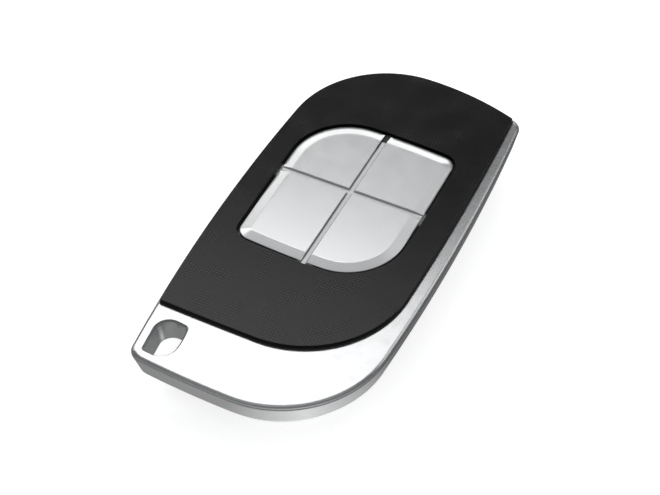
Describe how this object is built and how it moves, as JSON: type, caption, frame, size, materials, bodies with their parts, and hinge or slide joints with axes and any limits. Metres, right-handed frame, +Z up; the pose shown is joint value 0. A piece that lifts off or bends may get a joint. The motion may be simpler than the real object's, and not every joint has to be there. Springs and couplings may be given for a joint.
{
  "type": "gate remote control",
  "caption": "Slim leaf-shaped hand transmitter with a black cover, silver press keys round a cross, and a keyring eye through one corner.",
  "frame": {"origin": "middle of the case in plan, on the face that it rests on", "axes": "+Z up out of the keys, +Y from the keyring end to the far end, +X to the right of the keys"},
  "size_m": [0.0374, 0.074, 0.0099],
  "materials": {
    "case_silver": "satin silver paint",
    "cover_black": "fine grained black",
    "tray_black": "smooth dark grey",
    "key_silver": "glossy silver",
    "divider_silver": "satin silver",
    "switch_black": "moulded black",
    "plunger_brown": "moulded brown",
    "board_green": "solder mask",
    "cell_steel": "brushed",
    "contact_steel": "nickel plated",
    "chip_black": "moulded black",
    "crystal_steel": "plated can",
    "component_tan": "fired ceramic",
    "antenna_brass": "drawn wire",
    "screw_steel": "zinc plated"
  },
  "bodies": {
    "case": {"bottom_shell": "case_silver", "top_shell": "case_silver", "cover_tray": "tray_black", "cover_plate": "cover_black", "key_divider": "divider_silver", "switch_far_left": "switch_black", "switch_far_right": "switch_black", "switch_near_left": "switch_black", "switch_near_right": "switch_black", "circuit_board": "board_green", "coin_cell": "cell_steel", "cell_clip": "contact_steel", "cell_contact": "contact_steel", "antenna_loop": "antenna_brass", "microcontroller": "chip_black", "radio_chip": "chip_black", "crystal": "crystal_steel", "chip_components": "component_tan", "case_screws": "screw_steel"},
    "far_left_key": {"key_far_left": "key_silver", "plunger_far_left": "plunger_brown"},
    "far_right_key": {"key_far_right": "key_silver", "plunger_far_right": "plunger_brown"},
    "near_left_key": {"key_near_left": "key_silver", "plunger_near_left": "plunger_brown"},
    "near_right_key": {"key_near_right": "key_silver", "plunger_near_right": "plunger_brown"}
  },
  "joints": [
    {"name": "press_far_left", "type": "slide", "parent": "case", "child": "far_left_key", "axis": [0, 0, -1], "range_m": [0, 0.0003], "stiffness_N_per_m": 1500, "springref_m": -0.0003},
    {"name": "press_far_right", "type": "slide", "parent": "case", "child": "far_right_key", "axis": [0, 0, -1], "range_m": [0, 0.0003], "stiffness_N_per_m": 1500, "springref_m": -0.0003},
    {"name": "press_near_left", "type": "slide", "parent": "case", "child": "near_left_key", "axis": [0, 0, -1], "range_m": [0, 0.0003], "stiffness_N_per_m": 1500, "springref_m": -0.0003},
    {"name": "press_near_right", "type": "slide", "parent": "case", "child": "near_right_key", "axis": [0, 0, -1], "range_m": [0, 0.0003], "stiffness_N_per_m": 1500, "springref_m": -0.0003}
  ]
}
